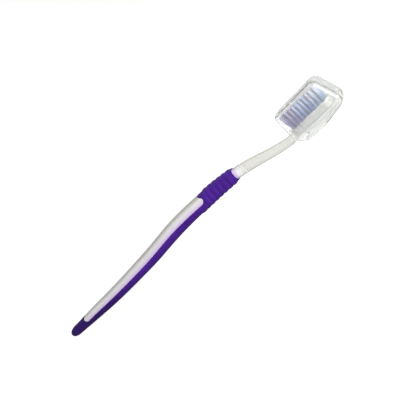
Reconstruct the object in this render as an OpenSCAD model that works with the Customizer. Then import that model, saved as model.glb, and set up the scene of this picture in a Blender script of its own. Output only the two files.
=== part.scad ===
// Manual toothbrush: a clear two-shot handle with a soft ribbed grip, tufted
// bristles and a slip-on head cover. The brush lies on its back on a table:
// X runs from the butt to the cover, Z points the way the bristles do.
// The origin is on the table, at the middle of the brush's length.

/* [Handle] */
// Length from the butt to the neck end of the grip
handle_l = 129.6; // [122:0.1:136]
// Length of the back that lies flat on the table, from the butt
tail_l = 24; // [18:1:32]
// Distance from the butt to the belly, the middle of the handle
belly_x = 62; // [52:1:70]
// Distance from the butt to the thick section just under the grip
waist_x = 88; // [80:1:94]
// Distance from the middle of the grip to its neck end
grip_half_l = 15.6; // [13:0.1:18]
// Length of the rounding at the butt
butt_round = 4.5; // [3:0.1:5.5]
// Squareness of the cross-section: 2 is an ellipse, more is boxier
section_power = 2.4; // [2.1:0.1:3]

/* [Handle thickness] */
// Thickness at the butt
butt_t = 5; // [4.6:0.1:6]
// Thickness at the end of the tail
tail_t = 6.8; // [6:0.1:8]
// Thickness at the belly
belly_t = 8.3; // [7.4:0.1:9.5]
// Thickness under the grip
waist_t = 8.7; // [8:0.1:10]
// Thickness in the middle of the grip, in the grooves between the ribs
grip_t = 7.9; // [7.6:0.1:9.5]
// Rubber over and under the neck at the end of the grip
end_rubber_t = 0.5; // [0.4:0.05:0.8]

/* [Handle height] */
// Height of the back over the table at the belly
belly_lift = 2.0; // [1:0.1:3]
// Height of the back under the grip's lower end
waist_lift = 5.1; // [3.8:0.1:5.5]
// Height of the back under the middle of the grip
arch_lift = 6.55; // [5.5:0.05:7]
// Height of the back at the neck end of the grip
arch_end_lift = 6.7; // [6.2:0.1:7]

/* [Handle width] */
// Width at the butt
butt_w = 6.4; // [5.5:0.1:7.5]
// Width at the end of the tail
tail_w = 8.6; // [7.5:0.1:10]
// Width at the belly
belly_w = 11; // [10:0.1:12.5]
// Width under the grip
waist_w = 11.8; // [10.8:0.1:13]
// Width in the middle of the grip, in the grooves
grip_w = 12.2; // [11:0.1:13.5]
// Rubber on each side of the neck at the end of the grip
end_rubber_w = 1.3; // [1:0.1:1.8]

/* [Clear window] */
// Length of the solid rubber butt, to the start of the clear window
butt_l = 13; // [11:0.5:17]
// Number of ribs that start beside the clear window's grip end
window_ribs = 2; // [1:1:3]
// Depth of the clear strip below the front edge at the butt
window_butt_h = 2.9; // [2.7:0.1:3.2]
// Depth of the clear strip at the tail
window_tail_h = 3.3; // [3:0.1:3.7]
// Depth of the clear strip at the belly and up to the grip
window_h = 4.1; // [3.8:0.1:4.4]
// Corner radius of the window at its two ends
window_r = 2.2; // [1.5:0.1:2.3]
// How far the window's grip end dips back on the front face
window_end_dip = 3; // [1:0.1:4]
// How far the window's butt end reaches forward on the front face
window_start_dip = 0.8; // [0:0.1:2]

/* [Rubber grip] */
// Thickness of the rubber over the clear core
rubber_t = 1.3; // [1:0.05:1.5]
// Thickness of the rubber at the tip of the butt
butt_rubber_t = 2.8; // [2:0.1:3.5]
// Length of the ribbed part of the grip
ribbed_l = 26; // [24:0.5:27]
// Number of ribs
rib_count = 8; // [6:1:9]
// Height of a rib over its grooves
rib_h = 0.45; // [0.3:0.05:0.7]
// Length of the rounding at the neck end of the grip
grip_round = 3; // [2:0.1:4]
// Edge that the grip leaves standing over the neck
grip_lip = 0.35; // [0.25:0.05:0.5]

/* [Neck] */
// Length of the neck, from the grip to the head
neck_l = 36; // [30:0.5:42]
// Thickness of the neck at the grip
neck_t = 5.9; // [5:0.1:5.9]
// Thickness of the neck at its slim end
neck_tip_t = 4.5; // [3.8:0.1:4.8]
// Width of the neck at the grip
neck_w = 6.8; // [6:0.1:7.4]
// Width of the neck at its slim end
neck_tip_w = 5.4; // [4.6:0.1:6]
// Height of the neck's middle at its slim end
neck_tip_z = 4.7; // [4.3:0.05:5.4]
// Distance from the slim end to the head
neck_bend_l = 4.4; // [3:0.1:7]

/* [Head] */
// Distance from the first and last rows of tufts to the head's ends
end_margin = 3.475; // [3.2:0.025:4]
// Plastic between the outer tuft holes and the head's sides
side_margin = 1; // [0.8:0.05:1.2]
// Plastic under the tuft holes
hole_floor = 1.3; // [1.1:0.05:1.5]
// Radius along the head's long edges
head_edge_r = 1.1; // [0.8:0.1:1.5]
// How far the neck lies inside the head's faces where it runs out in the head
neck_inset = 0.4; // [0.3:0.05:0.6]
// Height of the head's middle over the table, at the neck
head_z = 6.3; // [6:0.05:6.6]
// Angle at which the head rises towards its tip
head_tilt = 2.5; // [1.5:0.1:3]

/* [Bristles] */
// Number of tuft rows along the head
tuft_rows = 10; // [8:1:10]
// Number of tufts across a full row
tuft_cols = 4; // [3:1:4]
// Distance between rows
row_pitch = 2.25; // [2.1:0.01:2.25]
// Distance between the tufts of a row
col_pitch = 2.3; // [2.2:0.01:2.35]
// Diameter of a tuft hole
hole_d = 1.7; // [1.65:0.01:1.8]
// Depth of a tuft hole
hole_depth = 3.1; // [2.8:0.05:3.3]
// Height of the trimmed tips over the table
tip_z = 17.2; // [16:0.1:17.3]
// Strands in a tuft
strand_count = 10; // [8:1:12]
// Width of a strand
strand_w = 0.3; // [0.24:0.01:0.3]
// Spread of a tuft at its tips, as a factor
tuft_splay = 1.25; // [1:0.01:1.3]
// How far the tips of the first row lean out towards the neck
first_lean = 1.2; // [0:0.1:1.4]
// Clearance between the root of a tuft and its hole
root_gap = 0.06; // [0.04:0.01:0.08]

/* [Anchors] */
// How far the flat metal anchor bites into the hole's wall on each side
anchor_bite = 0.15; // [0.1:0.01:0.2]
// Thickness of the anchor
anchor_t = 0.3; // [0.2:0.01:0.4]
// Height of the anchor
anchor_h = 1.4; // [1.1:0.05:1.5]
// Thickness of the filaments folded under the anchor
fold_t = 0.35; // [0.25:0.01:0.5]
// Clearance round the anchor in its slot
anchor_gap = 0.02; // [0.01:0.005:0.04]
// Angle of the anchors to the rows, so that neighbours don't split the head
anchor_turn = 35; // [25:1:45]

/* [Head cover] */
// Room between the tip of the head and the far end of the cover
tip_room = 3.1; // [2.5:0.1:5]
// Room between the head's sides and the cover at its far end
side_room = 0.4; // [0.3:0.05:0.8]
// Room over the bristles in the cover's mouth
top_room = 0.8; // [0.5:0.1:1.5]
// Wall of the cover
cover_wall = 1.1; // [0.9:0.05:1.2]
// Radius of the cover's edges
cover_r = 2.7; // [2.2:0.1:3]
// How much rounder than its edges the cover's far corners are in side view
corner_extra = 1.8; // [1:0.1:3]
// Length of the head that stays outside the cover
mouth_offset = 0.4; // [0.2:0.1:1]
// Distance from the mouth to where the back of the cover starts to rise
cover_flat_l = 14.5; // [12:0.5:16]
// Height to which the back of the cover rises at the far end
cover_rise = 2.2; // [1.5:0.1:3]
// How much shorter the cover is at its top
cover_slant = 3.4; // [2:0.1:4]
// How far the top of the cover bulges towards the far end
cover_crown = 0.8; // [0:0.1:1]
// Taper of the cover's width from the mouth to the far end
cover_draft = 0.8; // [0.3:0.1:1]
// Size of the corner cut off below the neck
lip_cut = 4.6; // [3.5:0.1:5]
// Width of the vent slot in the far end
vent_w = 5; // [3:0.1:6]
// Height of the vent slot
vent_h = 2; // [1.2:0.1:2.6]
// Height of the vent's middle over the table
vent_z = 6.6; // [5.5:0.1:8]
// Distance from the mouth to the guide rails
rail_start = 1; // [0.6:0.1:2]
// Distance from the guide rails to the tip of the head
rail_end = 2.8; // [2:0.1:5]
// Thickness of the guide rails
rail_t = 0.9; // [0.7:0.05:1.1]
// How far the rails lap over the head's edges
rail_lap = 0.5; // [0.3:0.05:0.6]
// Clearance between the rails and the head
rail_gap = 0.2; // [0.15:0.01:0.3]

/* [Hidden] */
// Columns round a section: half of them cover the window
ring_n = 24;
half_n = ring_n / 2;
// Steps of the roundings and stretches along the handle
round_steps = 5;
corner_steps = 4;
rib_steps = 5;
plain_steps = 17;
sleeve_steps = 6;
neck_steps = 5;
bend_steps = 9;
// Sides of the circles: the head's ends, its edges, and everything smaller
end_fn = 96;
edge_fn = 48;
small_fn = 32;
// Steps of the cover's far corners in side view
cover_steps = 3;
// Distance over which the window's ends dip
dip_reach = 8;
// Length of the clear core's rounding in the butt
core_round = 3;
// Smooth length between the last rib and the neck, in rib pitches
rib_margin = 0.45;
// Fullness of a rib: 1 is a sine wave, less is a fuller rib
rib_power = 0.7;
// How fast the ribs beside the window grow from the sides to the back
rib_fade = 1.6;
// Depth to which a strand is rooted in its tuft
strand_sink = 0.4;
// Distance between a tuft's outer strands and the rim of its root
strand_inset = 0.03;
// Gap between the strands of a tuft's inner ring
strand_gap = 0.01;
// Share of a tuft's strands that stand in its inner ring
inner_share = 0.3;
// Shares of the rows that are violet, and that are violet or blue
violet_share = 0.3;
blue_share = 0.7;
// Length of the straight part of the cover's mouth in its moulded block
mouth_slab = 0.1;
// Depth by which the cover is flattened to lie on the table
pad_depth = 0.3;
// Spare length of a cut that runs past a face
spare = 1;

grip_x = handle_l - grip_half_l;
grip_end_t = neck_t + 2 * end_rubber_t;
grip_end_w = neck_w + 2 * end_rubber_w;
neck_z = arch_end_lift + grip_end_t / 2;
head_l = (tuft_rows - 1) * row_pitch + 2 * end_margin;
head_w = (tuft_cols - 1) * col_pitch + hole_d + 2 * side_margin;
head_t = hole_depth + hole_floor;
anchor_w = hole_d + 2 * anchor_bite;
cover_l = head_l - mouth_offset + tip_room + cover_wall;
cover_w = head_w + cover_draft + 2 * (side_room + cover_wall);
cover_h = tip_z + top_room + cover_wall;
rail_l = head_l - mouth_offset - rail_start - rail_end;

head_x = handle_l + neck_l;
head_r = head_w / 2;
bend_x = head_x - neck_bend_l;
neck_end_x = head_x + head_r;
neck_end_z = head_z + head_r * tan(head_tilt);
mouth_x = head_x + mouth_offset;
total_l = mouth_x + cover_l;
rib_x = handle_l - ribbed_l;
rib_pitch = ribbed_l / (rib_count + rib_margin);
window_end = rib_x + window_ribs * rib_pitch;

function cols(r) = r == 0 || r == tuft_rows - 1 ? tuft_cols - 1 : tuft_cols;

function tuft_name(r, c) = str("tuft_", r + 1, "_", c + 1);

// Smooth curve through a list of [x, value] knots, level at its first knot

function mix(a, b, t) = a + (b - a) * t;

function knot_slope(k, i) =
    i == 0 ? 0 :
    i == len(k) - 1 ? (k[i][1] - k[i - 1][1]) / (k[i][0] - k[i - 1][0]) :
    (k[i + 1][1] - k[i - 1][1]) / (k[i + 1][0] - k[i - 1][0]);

function knot_before(k, x, i = 0) =
    i >= len(k) - 2 || x < k[i + 1][0] ? i : knot_before(k, x, i + 1);

function curve(k, x) =
    let (
        i = knot_before(k, x),
        h = k[i + 1][0] - k[i][0],
        t = min(max((x - k[i][0]) / h, 0), 1)
    )
    (1 + 2 * t) * pow(1 - t, 2) * k[i][1]
    + t * pow(1 - t, 2) * h * knot_slope(k, i)
    + t * t * (3 - 2 * t) * k[i + 1][1]
    + t * t * (t - 1) * h * knot_slope(k, i + 1);

// Quarter-circle rounding: 0 at the tip of a rounding, 1 at its full section

function rounding(d, length) = sqrt(1 - pow(1 - min(max(d / length, 0), 1), 2));

// Side and plan curves of the handle

function back_edge(x) =
    x <= tail_l ? 0 :
    curve([
        [tail_l, 0],
        [belly_x, belly_lift],
        [waist_x, waist_lift],
        [grip_x, arch_lift],
        [handle_l, arch_end_lift]
    ], x);

function handle_t(x) = curve([
    [0, butt_t],
    [tail_l, tail_t],
    [belly_x, belly_t],
    [waist_x, waist_t],
    [grip_x, grip_t],
    [handle_l, grip_end_t]
], x);

function handle_w(x) = curve([
    [0, butt_w],
    [tail_l, tail_w],
    [belly_x, belly_w],
    [waist_x, waist_w],
    [grip_x, grip_w],
    [handle_l, grip_end_w]
], x);

function front_edge(x) = back_edge(x) + handle_t(x);

// Height at which the clear window and the rubber meet on the sides

function parting(x) = front_edge(x) - curve([
    [0, window_butt_h],
    [tail_l, window_tail_h],
    [belly_x, window_h],
    [grip_x, window_h],
    [handle_l, grip_end_t / 2]
], x);

// Side and plan curves of the clear core and the bare neck

function core_mid(x) =
    x <= rib_x ? back_edge(x) + handle_t(x) / 2 :
    curve([
        [rib_x, back_edge(rib_x) + handle_t(rib_x) / 2],
        [handle_l, neck_z],
        [bend_x, neck_tip_z],
        [neck_end_x, neck_end_z]
    ], x);

function core_t(x) =
    x <= rib_x ? handle_t(x) - 2 * rubber_t :
    curve([
        [rib_x, handle_t(rib_x) - 2 * rubber_t],
        [handle_l, neck_t],
        [bend_x, neck_tip_t],
        [neck_end_x, head_t - neck_inset]
    ], x);

function core_w(x) =
    x <= rib_x ? handle_w(x) - 2 * rubber_t :
    curve([
        [rib_x, handle_w(rib_x) - 2 * rubber_t],
        [handle_l, neck_w],
        [bend_x, neck_tip_w],
        [neck_end_x, head_w - 2 * neck_inset]
    ], x);

function core_parting(x) =
    mix(parting(min(x, handle_l)), core_mid(x), min(max((x - rib_x) / ribbed_l, 0), 1));

// Point of a cross-section. The angle a is 0 or 180 at the parting line, 90 on
// the front; up and down are the half-heights over and under that line.

function bulge(v) = sign(v) * pow(abs(v), 2 / section_power);

function section(x, a, w, mid, up, down) =
    [x, w / 2 * bulge(cos(a)), mid + (sin(a) > 0 ? up : down) * bulge(sin(a))];

// Height of the ribs at a point. Beside the window they fade out on the sides.

function rib(x, a) =
    x < rib_x || x > rib_x + rib_count * rib_pitch ? 0 :
    rib_h * pow(abs(sin(180 * (x - rib_x) / rib_pitch)), rib_power)
    * (x > window_end ? 1 : min(max(-rib_fade * sin(a), 0), 1));

function skin(x, a) =
    let (
        mid = parting(x),
        r = rib(x, a)
    )
    section(x, a, handle_w(x) + 2 * r, mid, front_edge(x) - mid + r, mid - back_edge(x) + r);

function core(x, a, grow = 0) =
    let (
        mid = core_parting(x),
        top = core_mid(x) + core_t(x) / 2,
        bottom = core_mid(x) - core_t(x) / 2
    )
    section(x, a, core_w(x) + 2 * grow, mid, top - mid + grow, mid - bottom + grow);

function toward(p, c, f) = c + f * (p - c);

function outer_point(x, a) =
    x < butt_round ? toward(skin(x, a), [x, 0, butt_t / 2], rounding(x, butt_round)) :
    x > handle_l - grip_round ?
        mix(core(x, a, grip_lip), skin(x, a), rounding(handle_l - x, grip_round)) :
    skin(x, a);

function inner_point(x, a) =
    toward(core(x, a), [x, 0, butt_t / 2], rounding(x - butt_rubber_t, core_round));

// Angle of a column. The window's columns share the front, between the parting
// lines that climb round its corners, and the others share the back.

function climb(x) =
    let (d = min(max(x - butt_l, 0), max(window_end - x, 0)))
    window_r * (1 - rounding(d, window_r));

function corner_angle(x) =
    let (up = front_edge(x) - parting(x))
    asin(pow(climb(x) / up, section_power / 2));

function first_angle(x) =
    x < butt_l ? corner_angle(butt_l) * x / butt_l :
    x > window_end ? corner_angle(window_end) * max(handle_l - x, 0) / (handle_l - window_end) :
    corner_angle(x);

function column_angle(x, j) =
    let (a = first_angle(x))
    j <= half_n ? a + (180 - 2 * a) * j / half_n :
    180 - a + (180 + 2 * a) * (j - half_n) / half_n;

// Shift of a column along X, so that the window's ends dip on the front face

function dip(x, j) =
    j >= half_n ? 0 :
    sin(180 * j / half_n) * (
        window_start_dip * max(1 - abs(x - butt_l) / dip_reach, 0)
        - window_end_dip * max(1 - abs(x - window_end) / dip_reach, 0)
    );

// Stations along X of the outer skin and of the core's own surface

rib_step = rib_pitch / rib_steps;

butt_rows = concat(
    [for (i = [1 : round_steps]) butt_round * (1 - cos(90 * i / round_steps))],
    [(butt_round + butt_l) / 2]
);

window_rows = concat(
    [for (i = [0 : corner_steps]) butt_l + window_r * (1 - cos(90 * i / corner_steps))],
    [for (i = [1 : plain_steps]) mix(butt_l + window_r, rib_x, i / plain_steps)],
    [for (x = [rib_x + rib_step : rib_step : window_end - window_r - rib_step / 3]) x],
    [for (i = [corner_steps : -1 : 0]) window_end - window_r * (1 - cos(90 * i / corner_steps))]
);

sleeve_rows = concat(
    [for (x = [rib_x + rib_step : rib_step : handle_l - grip_round - rib_step / 3])
        if (x > window_end + rib_step / 3) x],
    [for (i = [0 : corner_steps]) handle_l - grip_round * (1 - sin(90 * i / corner_steps))]
);

core_butt_rows = concat(
    [for (i = [1 : round_steps]) butt_rubber_t + core_round * (1 - cos(90 * i / round_steps))],
    [(butt_rubber_t + core_round + butt_l) / 2]
);

core_sleeve_rows = [for (i = [1 : sleeve_steps]) mix(window_end, handle_l, i / sleeve_steps)];

neck_rows = concat(
    [for (i = [1 : neck_steps]) mix(handle_l, bend_x, i / neck_steps)],
    [for (i = [1 : bend_steps]) mix(bend_x, neck_end_x, i / bend_steps)]
);

skin_rows = concat(butt_rows, window_rows, sleeve_rows);
core_rows = concat(core_butt_rows, window_rows, core_sleeve_rows, neck_rows);

// Points of both surfaces, and the numbers of their points

skin_n = len(skin_rows);
core_n = len(core_rows);
window_n = len(window_rows) - 1;
skin_window = len(butt_rows);
core_window = len(core_butt_rows);
core_end = core_window + window_n + sleeve_steps;

function skin_at(i, j) = i * ring_n + j % ring_n;

function core_at(i, j) = (skin_n + i) * ring_n + j % ring_n;

skin_pole = (skin_n + core_n) * ring_n;
core_pole = skin_pole + 1;
neck_pole = skin_pole + 2;

handle_points = concat(
    [for (x = skin_rows) for (j = [0 : ring_n - 1])
        outer_point(x + dip(x, j), column_angle(x, j))],
    [for (x = core_rows) for (j = [0 : ring_n - 1])
        inner_point(x + dip(x, j), column_angle(x, j))],
    [
        [0, 0, butt_t / 2],
        [butt_rubber_t, 0, butt_t / 2],
        [neck_end_x, 0, neck_end_z]
    ]
);

// Triangles. A wall between two stations or columns is split the same way for
// both pieces, so that the rubber and the clear core share their faces.

function pair(a, b, c, d, back) = back ? [[a, c, b], [a, d, c]] : [[a, b, c], [a, c, d]];

function flat(lists) = [for (list = lists) for (item = list) item];

function skin_faces(i0, i1, j0, j1, back) = flat([
    for (i = [i0 : i1 - 1]) for (j = [j0 : j1 - 1])
        pair(skin_at(i, j), skin_at(i + 1, j), skin_at(i + 1, j + 1), skin_at(i, j + 1), back)
]);

function core_faces(i0, i1, j0, j1, back) = flat([
    for (i = [i0 : i1 - 1]) for (j = [j0 : j1 - 1])
        pair(core_at(i, j), core_at(i + 1, j), core_at(i + 1, j + 1), core_at(i, j + 1), back)
]);

function ledge(j, back) = flat([
    for (i = [0 : window_n - 1])
        pair(skin_at(skin_window + i, j), skin_at(skin_window + i + 1, j),
            core_at(core_window + i + 1, j), core_at(core_window + i, j), back)
]);

function end_wall(si, ci, j1, back) = flat([
    for (j = [0 : j1 - 1])
        pair(skin_at(si, j), skin_at(si, j + 1), core_at(ci, j + 1), core_at(ci, j), back)
]);

function window_walls(back) = concat(
    ledge(0, back),
    ledge(half_n, !back),
    end_wall(skin_window + window_n, core_window + window_n, half_n, back),
    end_wall(skin_window, core_window, half_n, !back)
);

function skin_fan(pole, i) = [for (j = [0 : ring_n - 1]) [pole, skin_at(i, j), skin_at(i, j + 1)]];

function core_fan(pole, i, back) = [
    for (j = [0 : ring_n - 1])
        back ? [pole, core_at(i, j + 1), core_at(i, j)] : [pole, core_at(i, j), core_at(i, j + 1)]
];

module place_on_table() {
    translate([-total_l / 2, 0, 0])
        children();
}

module place_on_head() {
    place_on_table()
        translate([head_x, 0, head_z])
            rotate([0, -head_tilt, 0])
                children();
}

// Soft rubber: the butt, the strip along the back and the ribbed sleeve

module rubber_overmould() {
    faces = concat(
        skin_fan(skin_pole, 0),
        skin_faces(0, skin_window, 0, ring_n, false),
        skin_faces(skin_window, skin_window + window_n, half_n, ring_n, false),
        skin_faces(skin_window + window_n, skin_n - 1, 0, ring_n, false),
        core_fan(core_pole, 0, true),
        core_faces(0, core_window, 0, ring_n, true),
        core_faces(core_window, core_window + window_n, half_n, ring_n, true),
        core_faces(core_window + window_n, core_end, 0, ring_n, true),
        window_walls(false),
        end_wall(skin_n - 1, core_end, ring_n, true)
    );
    color([0.33, 0.15, 0.62])
        place_on_table()
            polyhedron(handle_points, faces);
}

// Clear moulding: the core in the handle, its window, the neck and the head

module core_and_neck() {
    faces = concat(
        core_fan(core_pole, 0, false),
        core_faces(0, core_window, 0, ring_n, false),
        core_faces(core_window, core_window + window_n, half_n, ring_n, false),
        skin_faces(skin_window, skin_window + window_n, 0, half_n, false),
        core_faces(core_window + window_n, core_n - 1, 0, ring_n, false),
        window_walls(true),
        core_fan(neck_pole, core_n - 1, true)
    );
    place_on_table()
        polyhedron(handle_points, faces);
}

module head_profile() {
    square([head_w - 2 * head_edge_r, head_t], center = true);
    square([head_w, head_t - 2 * head_edge_r], center = true);
    for (y = [-1, 1])
        for (z = [-1, 1])
            translate([y * (head_w / 2 - head_edge_r), z * (head_t / 2 - head_edge_r)])
                circle(r = head_edge_r, $fn = edge_fn);
}

module head_end() {
    rotate_extrude(angle = 180, $fn = end_fn)
        intersection() {
            head_profile();
            translate([0, -head_t])
                square([head_w, 2 * head_t]);
        }
}

module head_blank() {
    translate([head_r, 0, 0])
        rotate([90, 0, 90])
            linear_extrude(head_l - head_w)
                head_profile();
    translate([head_r, 0, 0])
        rotate([0, 0, 90])
            head_end();
    translate([head_l - head_r, 0, 0])
        rotate([0, 0, -90])
            head_end();
}

// Runs its children at every tuft's place, with the hole's floor at z = 0

module at_tuft(r, c) {
    translate([
        end_margin + r * row_pitch,
        (c - (cols(r) - 1) / 2) * col_pitch,
        head_t / 2 - hole_depth
    ])
        children();
}

module at_tufts() {
    for (r = [0 : tuft_rows - 1])
        for (c = [0 : cols(r) - 1])
            at_tuft(r, c)
                children();
}

module anchor(gap = 0) {
    rotate([0, 0, anchor_turn])
        translate([-anchor_t / 2 - gap, -anchor_w / 2 - gap, fold_t - gap])
            cube([anchor_t + 2 * gap, anchor_w + 2 * gap, anchor_h + 2 * gap]);
}

module handle() {
    color([0.86, 0.88, 0.83, 0.6])
        difference() {
            union() {
                core_and_neck();
                place_on_head()
                    head_blank();
            }
            place_on_head()
                at_tufts() {
                    cylinder(d = hole_d, h = hole_depth + spare, $fn = small_fn);
                    anchor(anchor_gap);
                }
        }
}

module tuft_anchors() {
    color([0.75, 0.75, 0.72])
        place_on_head()
            at_tufts()
                anchor();
}

// A tuft: its folded root fills the hole round the anchor, and its strands
// stand in two rings and lean out a little towards their trimmed tips

inner_strands = floor(strand_count * inner_share);
root_r = hole_d / 2 - root_gap;

function strand_angle(k) =
    k < inner_strands ? 360 * k / inner_strands :
    360 * (k - inner_strands + 0.5) / (strand_count - inner_strands);

function strand_radius(k) =
    k < inner_strands ? strand_w / 2 * (1 + 1 / tan(180 / inner_strands)) + strand_gap :
    root_r - strand_w / 2 - strand_inset;

function strand_end(k, r, z, lean) = [
    for (s = [[-1, -1], [1, -1], [1, 1], [-1, 1]])
        let (
            a = strand_angle(k),
            u = r + s[0] * strand_w / 2,
            v = s[1] * strand_w / 2
        )
        [u * cos(a) - v * sin(a) - lean, u * sin(a) + v * cos(a), z]
];

module strand(k, z0, z1, lean) {
    r = strand_radius(k);
    polyhedron(
        concat(strand_end(k, r, z0, 0), strand_end(k, r * tuft_splay, z1, lean)),
        [
            [0, 1, 2], [0, 2, 3],
            [4, 6, 5], [4, 7, 6],
            [0, 4, 5], [0, 5, 1],
            [1, 5, 6], [1, 6, 2],
            [2, 6, 7], [2, 7, 3],
            [3, 7, 4], [3, 4, 0]
        ]
    );
}

function tip_height(r) =
    let (x = end_margin + r * row_pitch)
    (tip_z - head_z - x * sin(head_tilt)) / cos(head_tilt) - head_t / 2 + hole_depth;

function tuft_color(r) =
    r < tuft_rows * violet_share ? [0.62, 0.56, 0.80] :
    r < tuft_rows * blue_share ? [0.50, 0.60, 0.86] :
    [0.66, 0.80, 0.84];

module tuft(r, c) {
    color(tuft_color(r))
        place_on_head()
            at_tuft(r, c) {
                difference() {
                    translate([0, 0, root_gap])
                        cylinder(r = root_r, h = hole_depth - root_gap, $fn = small_fn);
                    anchor(root_gap);
                }
                for (k = [0 : strand_count - 1])
                    strand(k, hole_depth - strand_sink, tip_height(r), r == 0 ? first_lean : 0);
            }
}

// Head cover: a drafted box, open towards the neck, with rails for the head.
// Each far corner is a row of balls on an arc, so that it is rounder in side
// view than the cover's other edges.

module corner_arc(x, y, z, start, r) {
    for (i = [0 : cover_steps])
        let (a = start + 90 * i / cover_steps)
        translate([x + corner_extra * cos(a), y, z + corner_extra * sin(a)])
            sphere(r = r, $fn = small_fn);
}

module cover_block(wall, reach) {
    r = cover_r - wall;
    mouth_y = cover_w / 2 - cover_r;
    far_y = mouth_y - cover_draft / 2;
    far_x = mouth_x + cover_l - cover_r - corner_extra;
    low_z = cover_r - pad_depth;
    high_z = cover_h - cover_r;
    top_x = far_x - cover_slant;
    top_z = high_z + (top_x - mouth_x) * tan(head_tilt) + cover_crown;
    hull()
        for (side = [-1, 1]) {
            for (z = [low_z, high_z])
                translate([mouth_x - reach, side * mouth_y, z])
                    rotate([0, 90, 0])
                        cylinder(r = r, h = mouth_slab, $fn = small_fn);
            translate([mouth_x + cover_flat_l, side * mix(mouth_y, far_y, cover_flat_l / cover_l), low_z])
                sphere(r = r, $fn = small_fn);
            corner_arc(far_x, side * far_y, cover_rise + cover_r + corner_extra, -90, r);
            corner_arc(top_x, side * far_y, top_z - corner_extra, 0, r);
        }
}

module cover_cuts() {
    cover_block(cover_wall, spare);
    translate([mouth_x - spare, -cover_w, -2 * spare])
        cube([cover_l + 2 * spare, 2 * cover_w, 2 * spare]);
    rotate([90, 0, 0])
        linear_extrude(2 * cover_w, center = true)
            polygon([
                [mouth_x - spare, -spare],
                [mouth_x + lip_cut + spare, -spare],
                [mouth_x - spare, lip_cut + spare]
            ]);
    translate([mouth_x + cover_l - cover_slant - 2 * cover_r, 0, vent_z])
        rotate([0, 90, 0])
            linear_extrude(2 * cover_r + cover_slant + spare) {
                square([vent_h, vent_w - vent_h], center = true);
                for (side = [-1, 1])
                    translate([0, side * (vent_w - vent_h) / 2])
                        circle(d = vent_h, $fn = small_fn);
            }
}

module guide_rails() {
    rail_in = head_r - rail_lap;
    rail_out = (cover_w - cover_draft - cover_wall) / 2;
    rail_w = rail_out - rail_in;
    rail_z = head_t / 2 + rail_gap;
    for (y = [rail_in, -rail_out])
        for (z = [rail_z, -rail_z - rail_t])
            translate([mouth_offset + rail_start, y, z])
                cube([rail_l, rail_w, rail_t]);
}

module head_cover() {
    color([0.88, 0.9, 0.92, 0.45]) {
        place_on_table()
            difference() {
                cover_block(0, 0);
                cover_cuts();
            }
        place_on_head()
            guide_rails();
    }
}

handle();
rubber_overmould();
tuft_anchors();
for (r = [0 : tuft_rows - 1])
    for (c = [0 : cols(r) - 1])
        tuft(r, c);
head_cover();
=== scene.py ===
"""Manual toothbrush with its clear head cover: materials, fine shapes, light and camera on the CAD frame."""
import math

import bmesh
import bpy
from mathutils import Matrix, Vector


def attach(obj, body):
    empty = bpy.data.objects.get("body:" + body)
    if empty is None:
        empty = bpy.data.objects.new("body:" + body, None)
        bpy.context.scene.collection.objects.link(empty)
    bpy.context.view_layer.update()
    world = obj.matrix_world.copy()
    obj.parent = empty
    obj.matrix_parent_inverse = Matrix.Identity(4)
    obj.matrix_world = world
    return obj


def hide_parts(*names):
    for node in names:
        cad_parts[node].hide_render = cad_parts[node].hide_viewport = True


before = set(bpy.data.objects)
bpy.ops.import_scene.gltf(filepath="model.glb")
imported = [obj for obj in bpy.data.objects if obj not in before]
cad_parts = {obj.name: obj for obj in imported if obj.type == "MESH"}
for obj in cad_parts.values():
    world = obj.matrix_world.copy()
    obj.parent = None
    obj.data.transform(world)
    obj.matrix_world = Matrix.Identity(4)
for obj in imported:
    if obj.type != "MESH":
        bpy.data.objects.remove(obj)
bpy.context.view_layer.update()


# Studio
# The camera stands where the photographer's did. The brush lies on a white table in a white tent, lit by a
# small lamp, low on the camera's side, and by a larger and fainter one above the butt.

MM = 0.001
camera_distance = 700 * MM
camera_azimuth = math.radians(22.64)
camera_elevation = math.radians(9.06)
camera_roll = math.radians(44.68)
aim = Vector((7.77, -0.06, 6.53)) * MM
lens_mm = 121.45

scene = bpy.context.scene
scene.view_settings.view_transform = "Standard"
scene.cycles.max_bounces = 24
scene.cycles.transmission_bounces = 24
scene.cycles.glossy_bounces = 16
scene.cycles.transparent_max_bounces = 16

back = Vector((
    math.sin(camera_azimuth) * math.cos(camera_elevation),
    -math.cos(camera_azimuth) * math.cos(camera_elevation),
    math.sin(camera_elevation),
))
level = Vector((0, 0, 1)).cross(back).normalized()
upright = back.cross(level)
right = math.cos(camera_roll) * level - math.sin(camera_roll) * upright
up = math.sin(camera_roll) * level + math.cos(camera_roll) * upright

camera_data = bpy.data.cameras.new("camera")
camera_data.lens = lens_mm
camera = bpy.data.objects.new("camera", camera_data)
camera.matrix_world = (
    Matrix.Translation(aim + camera_distance * back)
    @ Matrix((right, up, back)).transposed().to_4x4()
)
scene.collection.objects.link(camera)
scene.camera = camera


def add_lamp(name, place, size, power):
    """Square area lamp that points at the middle of the brush; sizes in metres, power in watts."""
    data = bpy.data.lights.new(name, "AREA")
    data.size = size
    data.energy = power
    lamp = bpy.data.objects.new(name, data)
    lamp.location = place
    lamp.rotation_mode = "QUATERNION"
    lamp.rotation_quaternion = (-Vector(place)).to_track_quat("-Z", "Y")
    scene.collection.objects.link(lamp)


add_lamp("key_lamp", place=(0.4, -0.32, 0.13), size=0.24, power=2.35)
add_lamp("top_lamp", place=(-0.25, 0.1, 0.8), size=0.6, power=0.6)


def colour(code):
    """Linear RGBA of an sRGB hex colour."""
    values = [int(code[i:i + 2], 16) / 255 for i in (1, 3, 5)]
    return [v / 12.92 if v <= 0.04045 else ((v + 0.055) / 1.055) ** 2.4 for v in values] + [1]


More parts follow.
